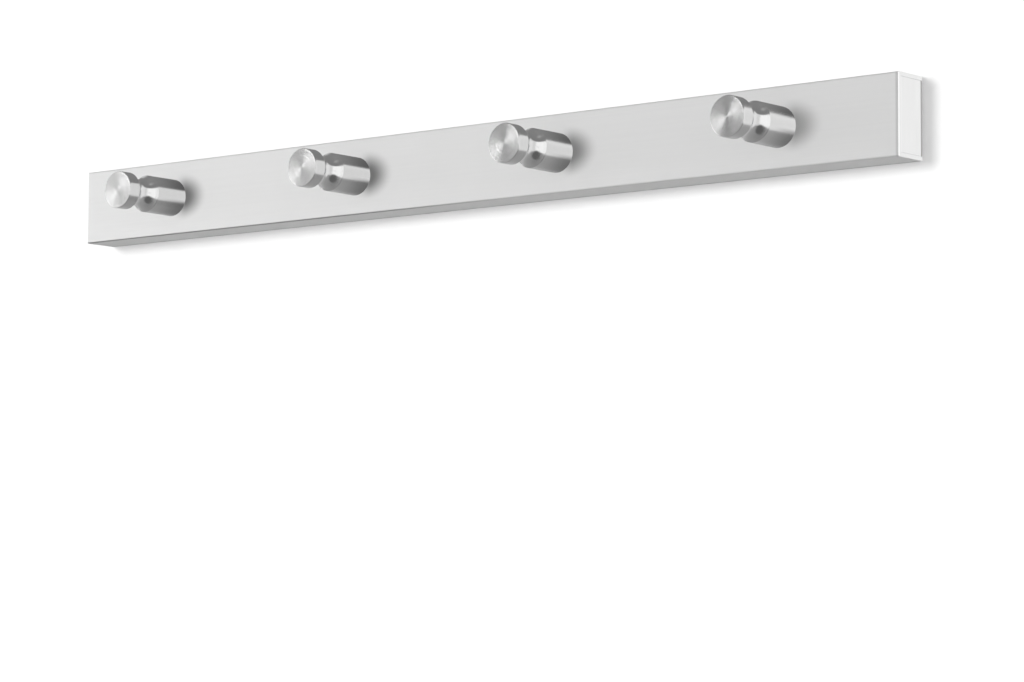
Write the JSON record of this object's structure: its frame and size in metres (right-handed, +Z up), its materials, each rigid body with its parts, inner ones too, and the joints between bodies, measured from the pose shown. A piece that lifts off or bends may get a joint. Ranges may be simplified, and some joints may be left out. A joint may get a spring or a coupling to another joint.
{
  "type": "wall hook rack",
  "caption": "Straight wall rack: a brushed steel rail carries a row of turned knobs, each with a waisted groove that holds a hanger or a coat loop.",
  "frame": {"origin": "on the wall plane, at the middle of the rack's back", "axes": "+Z up, +X along the rail, +Y into the wall, so that the knobs point towards -Y"},
  "size_m": [0.54, 0.0625, 0.04],
  "materials": {
    "brushed_rail": "stainless steel, satin, brushed along the rail",
    "turned_knob": "stainless steel, fine turned, rings around the knob's axis",
    "plain_steel": "stainless sheet, mill finish",
    "zinc_steel": "zinc-plated steel"
  },
  "bodies": {
    "root": {"rail_channel": "brushed_rail", "end_plate_left": "brushed_rail", "end_plate_right": "brushed_rail", "back_plate": "plain_steel", "hook_knob_1": "turned_knob", "hook_knob_2": "turned_knob", "hook_knob_3": "turned_knob", "hook_knob_4": "turned_knob", "knob_screw_1": "zinc_steel", "knob_screw_2": "zinc_steel", "knob_screw_3": "zinc_steel", "knob_screw_4": "zinc_steel", "spacer_sleeve_1": "zinc_steel", "spacer_sleeve_2": "zinc_steel", "spacer_sleeve_3": "zinc_steel", "spacer_sleeve_4": "zinc_steel", "lock_washer_1": "zinc_steel", "lock_washer_2": "zinc_steel", "lock_washer_3": "zinc_steel", "lock_washer_4": "zinc_steel"}
  },
  "joints": []
}
